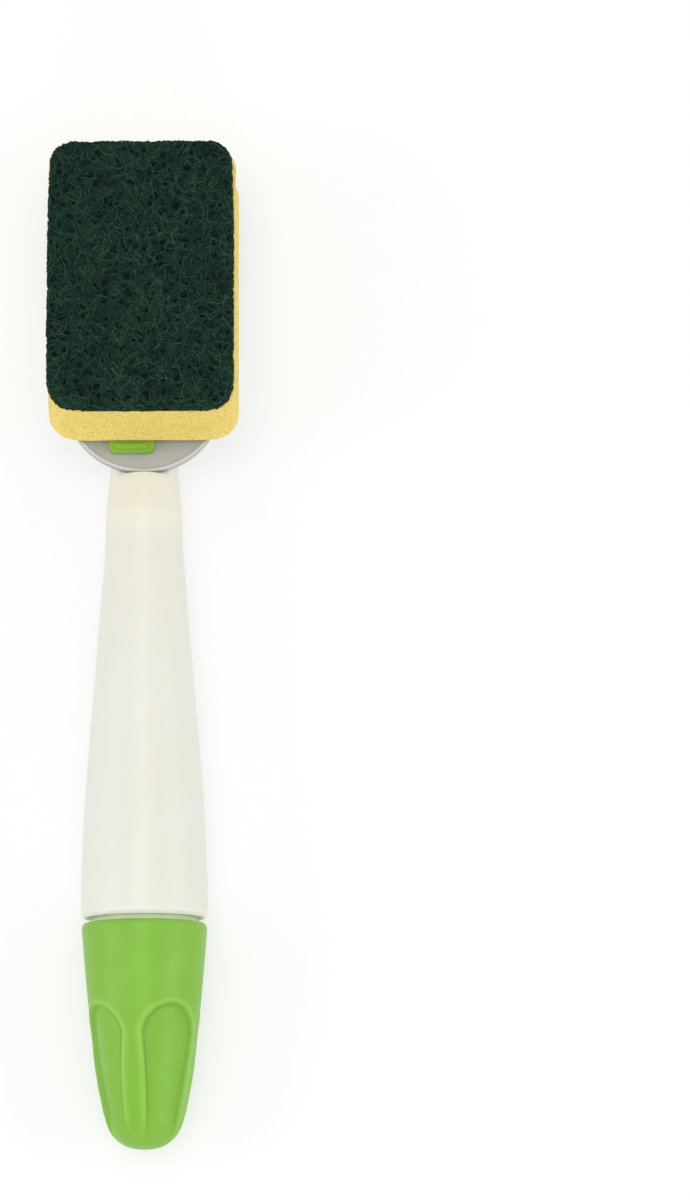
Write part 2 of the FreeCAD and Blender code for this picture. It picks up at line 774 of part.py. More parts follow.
def make_refill_plate():
    body = new_body("refill_plate")
    put_on_head(body)
    heel = "(dim.heel_show + dim.refill_heel_inset)"
    base = new_sketch(body, "base_outline", "XY_Plane", "dim.refill_clearance")
    rounded_rectangle(
        base, "dim.foam_width / 2 - dim.refill_inset", heel, f"{hook_reach} + {hook_outer}",
        "dim.refill_corner",
    )
    extrude(body, "Pad", "refill_base", base, "dim.refill_thickness")

    hook = new_sketch(body, "hook_outline", "YZ_Plane")
    hook_outline(hook)
    hook_pad = extrude(
        body, "Pad", "tip_hook", hook,
        "2 * (dim.plate_half_width - dim.plate_tip_corner - dim.hook_end_gap)",
    )
    hook_pad.Midplane = True

    tab = new_sketch(body, "tab_outline", "XY_Plane", "dim.refill_clearance")
    tab_end = "dim.heel_show - dim.tab_show"
    rounded_rectangle(tab, "dim.tab_width / 2", tab_end, f"{heel} + dim.tab_root", "dim.tab_corner")
    tab.setExpression("AttachmentOffset.Base.x", "-dim.tab_offset")
    extrude(body, "Pad", "pull_tab", tab, "dim.tab_thickness")
    grip = new_sketch(body, "grip_outline", "XY_Plane", "dim.refill_clearance")
    grip.setExpression("AttachmentOffset.Base.x", "-dim.tab_offset")
    grip_start = f"{tab_end} + dim.grip_inset"
    rounded_rectangle(
        grip, "dim.tab_width / 2 - dim.tab_corner", grip_start, f"{grip_start} + dim.grip_length",
        "dim.grip_corner",
    )
    extrude(body, "Pad", "tab_grip", grip, "dim.tab_thickness + dim.grip_height")

    peg = new_sketch(body, "peg_outline", "XY_Plane", "dim.refill_clearance")
    circle(peg, "dim.socket_radius - dim.peg_clearance", "dim.socket_reach")
    extrude(body, "Pad", "snap_peg", peg, "dim.refill_clearance + dim.peg_depth", reverse=True)

    window = new_sketch(body, "window_outline", "XY_Plane")
    circle(window, "dim.window_radius", "dim.outlet_reach")
    extrude(body, "Pocket", "outlet_window", window, f"{refill_top} + dim.overrun", reverse=True)
    return body


def make_foam():
    body = new_body("foam")
    put_on_head(body)
    layers = []
    for i, draw in enumerate(("0", "dim.foam_drawn_in", "0")):
        layer = new_sketch(
            body, f"foam_layer_{i}", "XY_Plane", f"{refill_top} + {i} * dim.foam_thickness / 2"
        )
        rounded_rectangle(
            layer, f"dim.foam_width / 2 - {draw}", f"dim.heel_show + {draw}", f"{foam_tip} - {draw}",
            f"dim.foam_corner - {draw}",
        )
        layers.append(layer)
    block = body.newObject("PartDesign::AdditiveLoft", "foam_block")
    block.Profile = layers[0]
    block.Sections = layers[1:]
    block.Ruled = True
    return body


def make_scourer():
    body = new_body("scourer")
    put_on_head(body)
    level = f"{refill_top} + dim.foam_thickness"
    outline = new_sketch(body, "scourer_outline", "XY_Plane", level)
    rounded_rectangle(
        outline, "dim.foam_width / 2 - dim.scourer_inset", "dim.heel_show + dim.scourer_inset",
        f"{foam_tip} - dim.scourer_inset", "dim.foam_corner - dim.scourer_inset",
    )
    extrude(body, "Pad", "scourer_pad", outline, "dim.scourer_thickness")
    top = value(sponge_top)
    bevel_edges(
        body, "scourer_edge", "dim.scourer_edge_bevel",
        lambda edge: near(edge.CenterOfMass.z, top),
    )
    return body


pieces = [
    make_tank(),
    make_end_cap(),
    make_cap_seal(),
    make_head_plate(),
    make_outlet_valve(),
    make_valve_retainer(),
    make_refill_plate(),
    make_foam(),
    make_scourer(),
]
doc.recompute()

for item in doc.Objects:
    if {"Invalid", "Error"} & set(item.State):
        raise RuntimeError(f"{item.Name} did not build: {item.State}")
for piece in pieces:
    shape = piece.Shape
    if shape.isNull() or not shape.isValid() or len(shape.Solids) != 1:
        raise RuntimeError(f"{piece.Label} is not one valid solid")

os.makedirs("parts", exist_ok=True)
for piece in pieces:
    box = piece.Shape.BoundBox
    print(
        f"{piece.Label}: {piece.Shape.Volume / 1000:.2f} cm3,"
        f" X {box.XMin:.2f} to {box.XMax:.2f}, Y {box.YMin:.2f} to {box.YMax:.2f},"
        f" Z {box.ZMin:.2f} to {box.ZMax:.2f}"
    )
    piece.Shape.exportStep(f"parts/{piece.Label}.step")
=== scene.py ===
import math
import random

import bmesh
import bpy
from mathutils import Matrix, Vector, noise
from mathutils.bvhtree import BVHTree


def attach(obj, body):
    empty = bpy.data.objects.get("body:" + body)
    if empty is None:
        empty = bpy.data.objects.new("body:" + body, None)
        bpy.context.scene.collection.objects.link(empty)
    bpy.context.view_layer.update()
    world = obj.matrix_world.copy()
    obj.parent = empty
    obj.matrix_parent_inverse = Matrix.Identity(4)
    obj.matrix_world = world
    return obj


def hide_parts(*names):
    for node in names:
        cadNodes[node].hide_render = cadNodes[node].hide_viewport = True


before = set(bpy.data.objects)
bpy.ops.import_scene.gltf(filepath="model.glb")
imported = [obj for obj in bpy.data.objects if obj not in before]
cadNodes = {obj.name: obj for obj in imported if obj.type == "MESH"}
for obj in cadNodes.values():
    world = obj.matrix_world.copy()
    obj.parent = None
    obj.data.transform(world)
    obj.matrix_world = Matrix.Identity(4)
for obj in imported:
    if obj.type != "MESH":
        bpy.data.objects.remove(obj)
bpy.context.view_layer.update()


# pieces are modelled in millimetres, each in the frame of what carries it

def carrierFrame(place, turn):
    # place in metres and turn about x in degrees, as in the CAD
    millimetre = Matrix.Scale(0.001, 4)
    return Matrix.Translation(place) @ Matrix.Rotation(math.radians(turn), 4, "X") @ millimetre


# x across, y from the plate's heel to its tip, z off the plate
headFrame = carrierFrame((0, 0.050678, 0.0261165), -11)
# z from the cap's rim along the handle to its tip, y up
capFrame = carrierFrame((0, -0.080422, 0.0184), 90)


# small helpers

def srgb(red, green, blue):
    def linear(level):
        level /= 255
        return level / 12.92 if level <= 0.04045 else ((level + 0.055) / 1.055) ** 2.4
    return (linear(red), linear(green), linear(blue), 1)


def smoothStep(low, high, value):
    share = min(max((value - low) / (high - low), 0), 1)
    return share * share * (3 - 2 * share)


def addObject(name, data):
    added = bpy.data.objects.new(name, data)
    bpy.context.scene.collection.objects.link(added)
    return added


def takeMesh(source):
    # mesh of a helper object as its bevel or modifier leaves it; the object goes
    bpy.context.view_layer.update()
    ready = source.evaluated_get(bpy.context.evaluated_depsgraph_get())
    mesh = bpy.data.meshes.new_from_object(ready)
    bpy.data.objects.remove(source)
    return mesh


def finishPiece(name, bm, place, material, body, sharpAngle=40):
    bmesh.ops.transform(bm, matrix=place, verts=bm.verts)
    mesh = bpy.data.meshes.new(name)
    bm.to_mesh(mesh)
    bm.free()
    mesh.materials.append(material)
    mesh.shade_smooth()
    mesh.set_sharp_from_angle(angle=math.radians(sharpAngle))
    piece = addObject(name, mesh)
    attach(piece, body)
    return piece


def curveMesh(splines, thickness=0.0, resolution=10):
    # splines are lists of (x, y, z, handle), or of (x, y, z) for straight runs
    curve = bpy.data.curves.new("guide", "CURVE")
    curve.dimensions = "3D"
    curve.resolution_u = resolution
    curve.bevel_depth = thickness
    curve.bevel_resolution = 0
    for points in splines:
        spline = curve.splines.new("BEZIER" if len(points[0]) == 4 else "POLY")
        if spline.type == "BEZIER":
            spline.bezier_points.add(len(points) - 1)
            for knot, (x, y, z, handle) in zip(spline.bezier_points, points):
                knot.co = (x, y, z)
                knot.handle_left_type = knot.handle_right_type = handle
        else:
            spline.points.add(len(points) - 1)
            for knot, point in zip(spline.points, points):
                knot.co = (*point, 1)
    mesh = takeMesh(addObject("guide", curve))
    bpy.data.curves.remove(curve)
    return mesh


def roundedOutline(bm, halfWide, low, high, corner, spacing, cornerSteps=10):
    # flat rounded rectangle with its edges cut to an even spacing
    bmesh.ops.create_grid(bm, x_segments=1, y_segments=1, size=1)
    bmesh.ops.scale(bm, vec=(halfWide, (high - low) / 2, 1), verts=bm.verts)
    bmesh.ops.translate(bm, vec=(0, (low + high) / 2, 0), verts=bm.verts)
    bmesh.ops.bevel(
        bm, geom=bm.verts[:], offset=corner, offset_type="OFFSET", segments=cornerSteps,
        profile=0.5, affect="VERTICES", material=-1,
    )
    for edge in bm.edges[:]:
        cuts = round(edge.calc_length() / spacing) - 1
        if cuts > 0:
            bmesh.ops.subdivide_edges(bm, edges=[edge], cuts=cuts)


def outlineAway(point, halfWide, low, high, corner):
    # direction straight out of a rounded rectangle
    coreX = min(max(point.x, corner - halfWide), halfWide - corner)
    coreY = min(max(point.y, low + corner), high - corner)
    away = Vector((point.x - coreX, point.y - coreY, 0))
    return away.normalized()


# node helpers

def startMaterial(name, roughness):
    material = bpy.data.materials.new(name)
    material.use_nodes = True
    tree = material.node_tree
    shader = tree.nodes["Principled BSDF"]
    shader.inputs["Roughness"].default_value = roughness
    place = tree.nodes.new("ShaderNodeTexCoord").outputs["Object"]
    return material, tree, shader, place


def mapLevel(tree, value, low, high, toLow=0.0, toHigh=1.0):
    spread = tree.nodes.new("ShaderNodeMapRange")
    limits = {"From Min": low, "From Max": high, "To Min": toLow, "To Max": toHigh}
    for socket, level in limits.items():
        spread.inputs[socket].default_value = level
    tree.links.new(value, spread.inputs["Value"])
    return spread.outputs["Result"]


def noiseLevel(tree, place, scale, detail, low, high, toLow=0.0, toHigh=1.0):
    grain = tree.nodes.new("ShaderNodeTexNoise")
    grain.inputs["Scale"].default_value = scale
    grain.inputs["Detail"].default_value = detail
    tree.links.new(place, grain.inputs["Vector"])
    return mapLevel(tree, grain.outputs["Fac"], low, high, toLow, toHigh)


def cellLevel(tree, place, scale, low, high):
    cells = tree.nodes.new("ShaderNodeTexVoronoi")
    cells.inputs["Scale"].default_value = scale
    tree.links.new(place, cells.inputs["Vector"])
    return mapLevel(tree, cells.outputs["Distance"], low, high)


def ownLevel(tree, attribute):
    own = tree.nodes.new("ShaderNodeAttribute")
    own.attribute_name = attribute
    return own.outputs["Fac"]


def mixTone(tree, level, first, second):
    mix = tree.nodes.new("ShaderNodeMix")
    mix.data_type = "RGBA"
    tree.links.new(level, mix.inputs["Factor"])
    for socket, tone in ((mix.inputs[6], first), (mix.inputs[7], second)):
        if isinstance(tone, tuple):
            socket.default_value = tone
        else:
            tree.links.new(tone, socket)
    return mix.outputs[2]


def mixShader(tree, level, first, second):
    mix = tree.nodes.new("ShaderNodeMixShader")
    for socket, source in zip(mix.inputs, (level, first, second)):
        tree.links.new(source, socket)
    return mix.outputs[0]


def addScatter(shader, weight, scale, radius=None):
    shader.inputs["Subsurface Weight"].default_value = weight
    shader.inputs["Subsurface Scale"].default_value = scale
    if radius:
        shader.inputs["Subsurface Radius"].default_value = radius


def addBump(tree, shader, level, distance, strength):
    bump = tree.nodes.new("ShaderNodeBump")
    bump.inputs["Strength"].default_value = strength
    bump.inputs["Distance"].default_value = distance
    tree.links.new(level, bump.inputs["Height"])
    before = shader.inputs["Normal"].links
    if before:
        tree.links.new(before[0].from_socket, bump.inputs["Normal"])
    tree.links.new(bump.outputs["Normal"], shader.inputs["Normal"])


# camera: nearly straight down, tipped 8 degrees up the handle

view = {
    "lens": 206.2, "sensorWide": 36, "farthest": 50,
    "place": (0.0571, -0.2650, 2.0), "turn": (0.1398, 0, -0.0048),
}

camera = bpy.data.cameras.new("camera")
camera.lens = view["lens"]
camera.sensor_width = view["sensorWide"]
camera.clip_end = view["farthest"]
cameraObject = addObject("camera", camera)
cameraObject.location = view["place"]
cameraObject.rotation_euler = view["turn"]
bpy.context.scene.camera = cameraObject
print("camera placed")


# studio: pale floor, soft lamps, white surroundings

studio = {
    "worldLevel": 0.64,
    "floorHalf": 6,
    "floorColour": (0.92, 0.92, 0.92, 1),
    "floorGlow": 0.55,  # share of the seen white that the shadow doesn't dim
    "farFloor": (0.6, 1.8),  # turns plain white between these distances
    "lamps": [  # name, place, size, power
        ("topLamp", (-0.1, 0.15, 1.9), 0.9, 7.8),
        ("leftLamp", (-1.25, -0.1, 0.75), 0.7, 3.6),
        ("rightLamp", (1.25, -0.1, 0.75), 0.7, 3.6),
        ("frontLamp", (0.1, -1.4, 0.8), 0.7, 2.7),
    ],
}


def seenRays(tree):
    # 1 where the camera sees the place, straight or in gloss or glass
    path = tree.nodes.new("ShaderNodeLightPath")
    seen = path.outputs["Is Camera Ray"]
    for ray in ("Is Glossy Ray", "Is Transmission Ray"):
        either = tree.nodes.new("ShaderNodeMath")
        either.operation = "MAXIMUM"
        tree.links.new(seen, either.inputs[0])
        tree.links.new(path.outputs[ray], either.inputs[1])
        seen = either.outputs[0]
    return seen


def lightWorld():
    world = bpy.data.worlds.new("studio")
    world.use_nodes = True
    bpy.context.scene.world = world
    tree = world.node_tree
    lighting = tree.nodes["Background"]
    seen = tree.nodes.new("ShaderNodeBackground")
    for background in (lighting, seen):
        background.inputs["Color"].default_value = (1, 1, 1, 1)
    lighting.inputs["Strength"].default_value = studio["worldLevel"]
    surface = mixShader(tree, seenRays(tree), lighting.outputs[0], seen.outputs[0])
    tree.links.new(surface, tree.nodes["World Output"].inputs["Surface"])


def hangLamps():
    for name, place, size, power in studio["lamps"]:
        lamp = bpy.data.lights.new(name, "AREA")
        lamp.size = size
        lamp.energy = power
        hung = addObject(name, lamp)
        hung.location = place
        hung.rotation_euler = (-Vector(place)).to_track_quat("-Z", "Y").to_euler()


def floorMaterial():
    material = bpy.data.materials.new("paleFloor")
    material.use_nodes = True
    material.cycles.emission_sampling = "NONE"  # the glow is only seen, it lights nothing
    tree = material.node_tree
    tree.nodes.remove(tree.nodes["Principled BSDF"])
    matte = tree.nodes.new("ShaderNodeBsdfDiffuse")
    matte.inputs["Color"].default_value = studio["floorColour"]
    shadowed = tree.nodes.new("ShaderNodeBsdfDiffuse")
    shadowed.inputs["Color"].default_value = tuple([1 - studio["floorGlow"]] * 3 + [1])
    glow = tree.nodes.new("ShaderNodeEmission")
    glow.inputs["Strength"].default_value = studio["floorGlow"]
    white = tree.nodes.new("ShaderNodeAddShader")
    tree.links.new(shadowed.outputs[0], white.inputs[0])
    tree.links.new(glow.outputs[0], white.inputs[1])
    gap = tree.nodes.new("ShaderNodeVectorMath")
    gap.operation = "LENGTH"
    tree.links.new(tree.nodes.new("ShaderNodeTexCoord").outputs["Object"], gap.inputs[0])
    far = mapLevel(tree, gap.outputs["Value"], *studio["farFloor"])
    plain = tree.nodes.new("ShaderNodeEmission").outputs[0]
    ground = mixShader(tree, far, white.outputs[0], plain)
    surface = mixShader(tree, seenRays(tree), matte.outputs[0], ground)
    tree.links.new(surface, tree.nodes["Material Output"].inputs["Surface"])
    return material


def layFloor():
    bm = bmesh.new()
    bmesh.ops.create_grid(bm, x_segments=1, y_segments=1, size=studio["floorHalf"])
    mesh = bpy.data.meshes.new("floor")
    bm.to_mesh(mesh)
    bm.free()
    mesh.materials.append(floorMaterial())
    floor = addObject("floor", mesh)


lightWorld()
hangLamps()
layFloor()
print("studio ready")


# finishes of the moulded plastics and rubbers

def varyGloss(tree, shader, place, scale, smoothest, roughest):
    gloss = noiseLevel(tree, place, scale, 4, 0.3, 0.7, smoothest, roughest)
    tree.links.new(gloss, shader.inputs["Roughness"])


def milkyPlastic(name, light, dark, roughness, scatter=0.35, grain=0.5, neck=None):
    material, tree, shader, place = startMaterial(name, roughness)
    cloud = noiseLevel(tree, place, scale=38, detail=3, low=0.38, high=0.64)
    tone = mixTone(tree, cloud, light, dark)
    if neck:  # painted light: the cap's green light is painted into the neck as a pale green tint
        start, end, paintedNeckLight = neck
        split = tree.nodes.new("ShaderNodeSeparateXYZ")
        tree.links.new(place, split.inputs[0])
        along = mapLevel(tree, split.outputs["Y"], start, end)
        tone = mixTone(tree, along, tone, paintedNeckLight)
    tree.links.new(tone, shader.inputs["Base Color"])
    shader.inputs["IOR"].default_value = 1.46
    addScatter(shader, scatter, scale=0.004, radius=(1.0, 0.9, 0.7))
    varyGloss(tree, shader, place, 160, roughness - 0.05, roughness + 0.06)
    fine = noiseLevel(tree, place, scale=900, detail=3, low=0.2, high=0.8)
    wavy = noiseLevel(tree, place, scale=60, detail=2, low=0.2, high=0.8)
    addBump(tree, shader, fine, distance=0.00004, strength=grain)
    addBump(tree, shader, wavy, distance=0.00025, strength=0.3)
    return material


def satinPlastic(name, light, dark, roughness, edges=()):
    material, tree, shader, place = startMaterial(name, roughness)
    cloud = noiseLevel(tree, place, scale=55, detail=4, low=0.36, high=0.66)
    tone = mixTone(tree, cloud, light, dark)
    for attribute, paintedShading in edges:  # painted shade and painted highlight on the pressed edges, from the piece's own attributes
        tone = mixTone(tree, ownLevel(tree, attribute), tone, paintedShading)
    tree.links.new(tone, shader.inputs["Base Color"])
    addScatter(shader, 0.2, scale=0.0025, radius=(0.6, 1.0, 0.3))
    varyGloss(tree, shader, place, 220, roughness - 0.05, roughness + 0.07)
    fine = noiseLevel(tree, place, scale=1400, detail=2, low=0.2, high=0.8)
    addBump(tree, shader, fine, distance=0.00003, strength=0.6)
    return material


def softRubber(name, light, dark, roughness):
    material, tree, shader, place = startMaterial(name, roughness)
    cloud = noiseLevel(tree, place, scale=300, detail=5, low=0.35, high=0.65)
    tree.links.new(mixTone(tree, cloud, light, dark), shader.inputs["Base Color"])
    addScatter(shader, 0.15, scale=0.001)
    fine = noiseLevel(tree, place, scale=1800, detail=3, low=0.2, high=0.8)
    addBump(tree, shader, fine, distance=0.00003, strength=0.7)
    return material


# flute walls are painted darker as painted shade, flute lips lighter as a painted highlight
capGreen = satinPlastic(
    "capGreen", srgb(128, 186, 47), srgb(125, 182, 44), 0.42,
    edges=[("fluteWallShade", srgb(106, 159, 32)), ("fluteLipHighlight", srgb(146, 202, 68))],
)
threadGreen = satinPlastic("threadGreen", srgb(128, 186, 47), srgb(123, 180, 43), 0.42)
refillGreen = satinPlastic("refillGreen", srgb(140, 185, 57), srgb(133, 178, 51), 0.4)
# the neck's pale green tint is painted light from the cap
tankMilky = milkyPlastic(
    "tankMilky", srgb(238, 235, 223), srgb(236, 233, 220), 0.36, scatter=0.45,
    neck=(-0.0786, -0.0792, srgb(231, 241, 205)),
)
# painted shade: the head plate is the same milky plastic painted greyer; its lip is painted lighter
# as a painted highlight
plateShadedMilky = milkyPlastic("plateShadedMilky", srgb(184, 182, 186), srgb(179, 178, 180), 0.36, grain=0.1)
lipLitMilky = milkyPlastic("lipLitMilky", srgb(218, 219, 214), srgb(212, 214, 207), 0.36)
valveSilicone = softRubber("valveSilicone", srgb(205, 206, 200), srgb(190, 192, 186), 0.5)
retainerNylon = softRubber("retainerNylon", srgb(232, 231, 224), srgb(222, 221, 213), 0.45)
sealFoam = softRubber("sealFoam", srgb(214, 214, 208), srgb(196, 196, 190), 0.8)

for nodeName, material in (
    ("tank", tankMilky), ("head_plate", plateShadedMilky), ("refill_plate", refillGreen),
    ("outlet_valve", valveSilicone), ("valve_retainer", retainerNylon), ("cap_seal", sealFoam),
):
    cadNodes[nodeName].data.materials.clear()
    cadNodes[nodeName].data.materials.append(material)
print("plastics dressed")


# screw cap: spun bullet with four pressed thumb flutes

capShell = {
    "outside": [  # radius, distance from the rim
        (0, 65.3), (1.8, 65.2), (4.0, 64.8), (6.4, 63.8), (8.45, 62.2), (10.1, 59.8), (11.4, 56.0),
        (12.55, 51.0), (14.15, 42.0), (15.3, 32.0), (16.4, 22.0), (17.3, 12.0), (17.95, 4.0),
        (18.12, 1.9), (17.95, 0.75), (17.5, 0.15), (16.9, 0.0),
    ],
    "inside": [
        (16.4, 0.0), (16.0, 0.4), (16.0, 13.1), (12.34, 13.1), (12.34, 29.0), (8.9, 29.0),
        (8.9, 52.0), (0, 52.0),
    ],
    "hollows": [(29.01, 12.4), (52.01, 8.95)],  # end and radius that just take in the hollow
    "steps": 288,
    "ringSpacing": 0.42,
    "fineFrom": 18.0,
    "fineOutside": (16.8, 0.105),  # radius at the rim, and its loss on the way to the tip
    "pressedFrom": 20.0,
    "fluteAngles": (32, 122, 212, 302),
    "fluteTop": 24.0,
    "fluteHalfWide": 8.4,
    "fluteEndHalfWide": 4.5,
    "fluteEnd": 62.3,
    "fluteDepth": 1.5,
    "fluteFade": (53.0, 65.0),
    "wallSpan": (-0.45, 1.05),  # from outside the flute's edge to inside it
    # painted shade on the flute walls and painted highlight along their lips
    "wallShadeStrength": 3.2,
    "wallShadeFrom": 0.1,
    "lipRise": 0.15,
    "lipWide": 0.8,
    "lipHighlightStrength": 0.7,
}


def fluteEdge(radius, angle, height):
    # how far down the flute's wall a place is, how high on the lip, and what the fade leaves
    shape = capShell
    nearest = min(shape["fluteAngles"], key=lambda a: 1 - math.cos(angle - math.radians(a)))
    across = radius * math.sin(angle - math.radians(nearest))
    spring = shape["fluteTop"] + shape["fluteHalfWide"]
    if height < spring:
        inside = shape["fluteHalfWide"] - math.hypot(across, height - spring)
    else:
        share = (height - spring) / (shape["fluteEnd"] - spring)
        half = shape["fluteHalfWide"] + share * (shape["fluteEndHalfWide"] - shape["fluteHalfWide"])
        inside = half - abs(across)
    fade = 1 - smoothStep(*shape["fluteFade"], height)
    wall = smoothStep(*shape["wallSpan"], inside)
    lip = math.exp(-(((inside + shape["lipWide"]) / shape["lipWide"]) ** 2))
    return wall, lip, fade


def isPressed(radius, height):
    hollow = next((wide for end, wide in capShell["hollows"] if height < end), 0)
    return height > capShell["pressedFrom"] and radius > hollow


def makeCap():
    shape = capShell
    outside = [(r, 0, z, "AUTO") for r, z in shape["outside"]]
    inside = [(r, 0, z, "VECTOR") for r, z in shape["inside"]]
    bm = bmesh.new()
    bm.from_mesh(curveMesh([outside + inside]))
    bmesh.ops.remove_doubles(bm, verts=bm.verts, dist=0.0005)
    rimRadius, loss = shape["fineOutside"]
    for edge in bm.edges[:]:
        middle = (edge.verts[0].co + edge.verts[1].co) / 2
        cuts = round(edge.calc_length() / shape["ringSpacing"]) - 1
        onSide = middle.z > shape["fineFrom"] and middle.x > rimRadius - loss * middle.z
        if cuts > 0 and onSide:
            bmesh.ops.subdivide_edges(bm, edges=[edge], cuts=cuts)
    bmesh.ops.spin(
        bm, geom=bm.verts[:] + bm.edges[:], cent=(0, 0, 0), axis=(0, 0, 1), dvec=(0, 0, 0),
        angle=math.tau, steps=shape["steps"], use_merge=True,
    )
    bmesh.ops.remove_doubles(bm, verts=bm.verts, dist=0.001)
    bmesh.ops.recalc_face_normals(bm, faces=bm.faces)
    wallShadeLayer = bm.verts.layers.float.new("fluteWallShade")
    lipHighlightLayer = bm.verts.layers.float.new("fluteLipHighlight")
    for vert in bm.verts:
        radius = math.hypot(vert.co.x, vert.co.y)
        if not isPressed(radius, vert.co.z):
            continue
        wall, lip, fade = fluteEdge(radius, math.atan2(vert.co.x, vert.co.y), vert.co.z)
        inset = fade * (shape["fluteDepth"] * wall - shape["lipRise"] * lip)
        vert.co.xy *= (radius - inset) / radius
        # the walls get painted shade and the lips a painted highlight
        if wall > shape["wallShadeFrom"]:
            vert[wallShadeLayer] = shape["wallShadeStrength"] * fade * wall * (1 - wall)
        vert[lipHighlightLayer] = shape["lipHighlightStrength"] * fade * lip
    piece = finishPiece("capShell", bm, capFrame, capGreen, "cap")
    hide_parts("end_cap")


makeCap()
print("cap turned and fluted")


# screw thread on the neck and the one inside the cap, half a pitch apart

screwThread = {
    "pitch": 3.0,
    "turns": 2.4,
    "stepsPerTurn": 72,
    "rootHalf": 0.6, "crestHalf": 0.25,
    "neck": (15.1, 15.7, 1.4),  # root radius, crest radius, start
    "cap": (16.1, 15.5, 2.9),
}


def makeThread(name, root, crest, start, material, body, slotName):
    half, tip = screwThread["rootHalf"], screwThread["crestHalf"]
    bm = bmesh.new()
    section = [
        bm.verts.new((radius, 0, start + along))
        for radius, along in ((root, -half), (crest, -tip), (crest, tip), (root, half))
    ]
    face = bm.faces.new(section)
    steps = round(screwThread["stepsPerTurn"] * screwThread["turns"])
    bmesh.ops.spin(
        bm, geom=[face], cent=(0, 0, 0), axis=(0, 0, 1),
        dvec=(0, 0, screwThread["pitch"] / screwThread["stepsPerTurn"]),
        angle=math.tau * screwThread["turns"], steps=steps,
    )
    bmesh.ops.recalc_face_normals(bm, faces=bm.faces)
    finishPiece(name, bm, capFrame, material, body)


makeThread("neckThread", *screwThread["neck"], tankMilky, "handle", "tank")
makeThread("capThread", *screwThread["cap"], threadGreen, "cap", "end_cap")
print("threads cut")


# foam block: sides drawn in, soft edges, open pores

sponge = {  # shared by the foam and the pad bonded on it
    "halfWide": 27.4, "heel": 8.8, "tip": 91.1, "corner": 7.0,
    "foamBase": 3.3, "foamTop": 26.3, "padTop": 32.3, "padInset": 0.4,
    "wornCorners": [  # x, y, inset, reach: corners that the knife took off more of
        (-27.4, 8.8, 0.8, 13.0), (27.4, 8.8, 0.4, 11.0),
    ],
}
spongeBox = [sponge[side] for side in ("halfWide", "heel", "tip", "corner")]
foamShape = {
    "layers": 46, "spacing": 0.5,
    "drawnIn": 0.5, "topRound": 0.9, "baseRound": 0.15, "baseSwell": 0.45, "swellTall": 5.0,
    "poreCell": 1.7, "poreSize": 0.3, "poreSpread": 0.7, "poreShuffle": 5.1, "poreDepth": 0.5,
    "poreFreeEdge": 0.8,
    "unevenness": 0.12, "unevenCell": 9,
}


def wornInset(point):
    worn = 0
    for x, y, inset, reach in sponge["wornCorners"]:
        gap = math.hypot(point.x - x, point.y - y)
        worn += inset * (1 - smoothStep(0, reach, gap))
    return worn


def foamMaterial():
    material, tree, shader, place = startMaterial("spongeYellow", 0.92)
    cloud = noiseLevel(tree, place, scale=70, detail=3, low=0.3, high=0.7)
    tone = mixTone(tree, cloud, srgb(246, 221, 126), srgb(241, 215, 119))
    # painted shade: the pores are painted darker where the bump sinks them
    pores = cellLevel(tree, place, scale=1100, low=0.08, high=0.4)
    tone = mixTone(tree, pores, srgb(216, 185, 94), tone)
    tree.links.new(tone, shader.inputs["Base Color"])
    addScatter(shader, 0.15, scale=0.002, radius=(1.0, 0.8, 0.3))
    shader.inputs["Specular IOR Level"].default_value = 0.15
    addBump(tree, shader, pores, distance=0.0002, strength=0.8)
    return material


def poreInset(point, toEnd):
    shape = foamShape
    distances, centres = noise.voronoi(point / shape["poreCell"])
    shuffle = noise.noise(centres[0] * shape["poreShuffle"])
    size = shape["poreSize"] * (1 + shape["poreSpread"] * shuffle)
    dent = max(0, 1 - (distances[0] / size) ** 2)
    return shape["poreDepth"] * dent * min(1, toEnd / shape["poreFreeEdge"])


def makeFoam():
    shape = foamShape
    base, tall = sponge["foamBase"], sponge["foamTop"] - sponge["foamBase"]
    bm = bmesh.new()
    roundedOutline(bm, *spongeBox, shape["spacing"])
    bmesh.ops.delete(bm, geom=bm.faces[:], context="FACES_ONLY")
    bmesh.ops.translate(bm, vec=(0, 0, base), verts=bm.verts)
    bmesh.ops.spin(
        bm, geom=bm.verts[:] + bm.edges[:], cent=(0, 0, 0), axis=(0, 0, 1),
        dvec=(0, 0, tall / shape["layers"]), angle=0, steps=shape["layers"],
    )
    bmesh.ops.holes_fill(bm, edges=[edge for edge in bm.edges if edge.is_boundary], sides=0)
    bmesh.ops.recalc_face_normals(bm, faces=bm.faces)
    for vert in bm.verts:
        away = outlineAway(vert.co, *spongeBox)
        rise = (vert.co.z - base) / tall
        inset = shape["drawnIn"] * (1 - (2 * rise - 1) ** 2) + wornInset(vert.co)
        toEnd = min(rise, 1 - rise) * tall
        turn = shape["baseRound"] if rise < 0.5 else shape["topRound"]
        if toEnd < turn:
            inset += turn - math.sqrt(max(turn ** 2 - (turn - toEnd) ** 2, 0))
        inset += poreInset(vert.co, toEnd)
        inset += shape["unevenness"] * noise.noise(vert.co / shape["unevenCell"])
        swell = shape["baseSwell"] * (1 - smoothStep(0, shape["swellTall"], rise * tall))
        vert.co -= away * (max(inset, 0) - swell)
    piece = finishPiece("foamBlock", bm, headFrame, foamMaterial(), "refill", 60)
    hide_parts("foam")


makeFoam()
print("foam block shaped")


# scouring pad: pitted mat with a web of stiff fibres over it

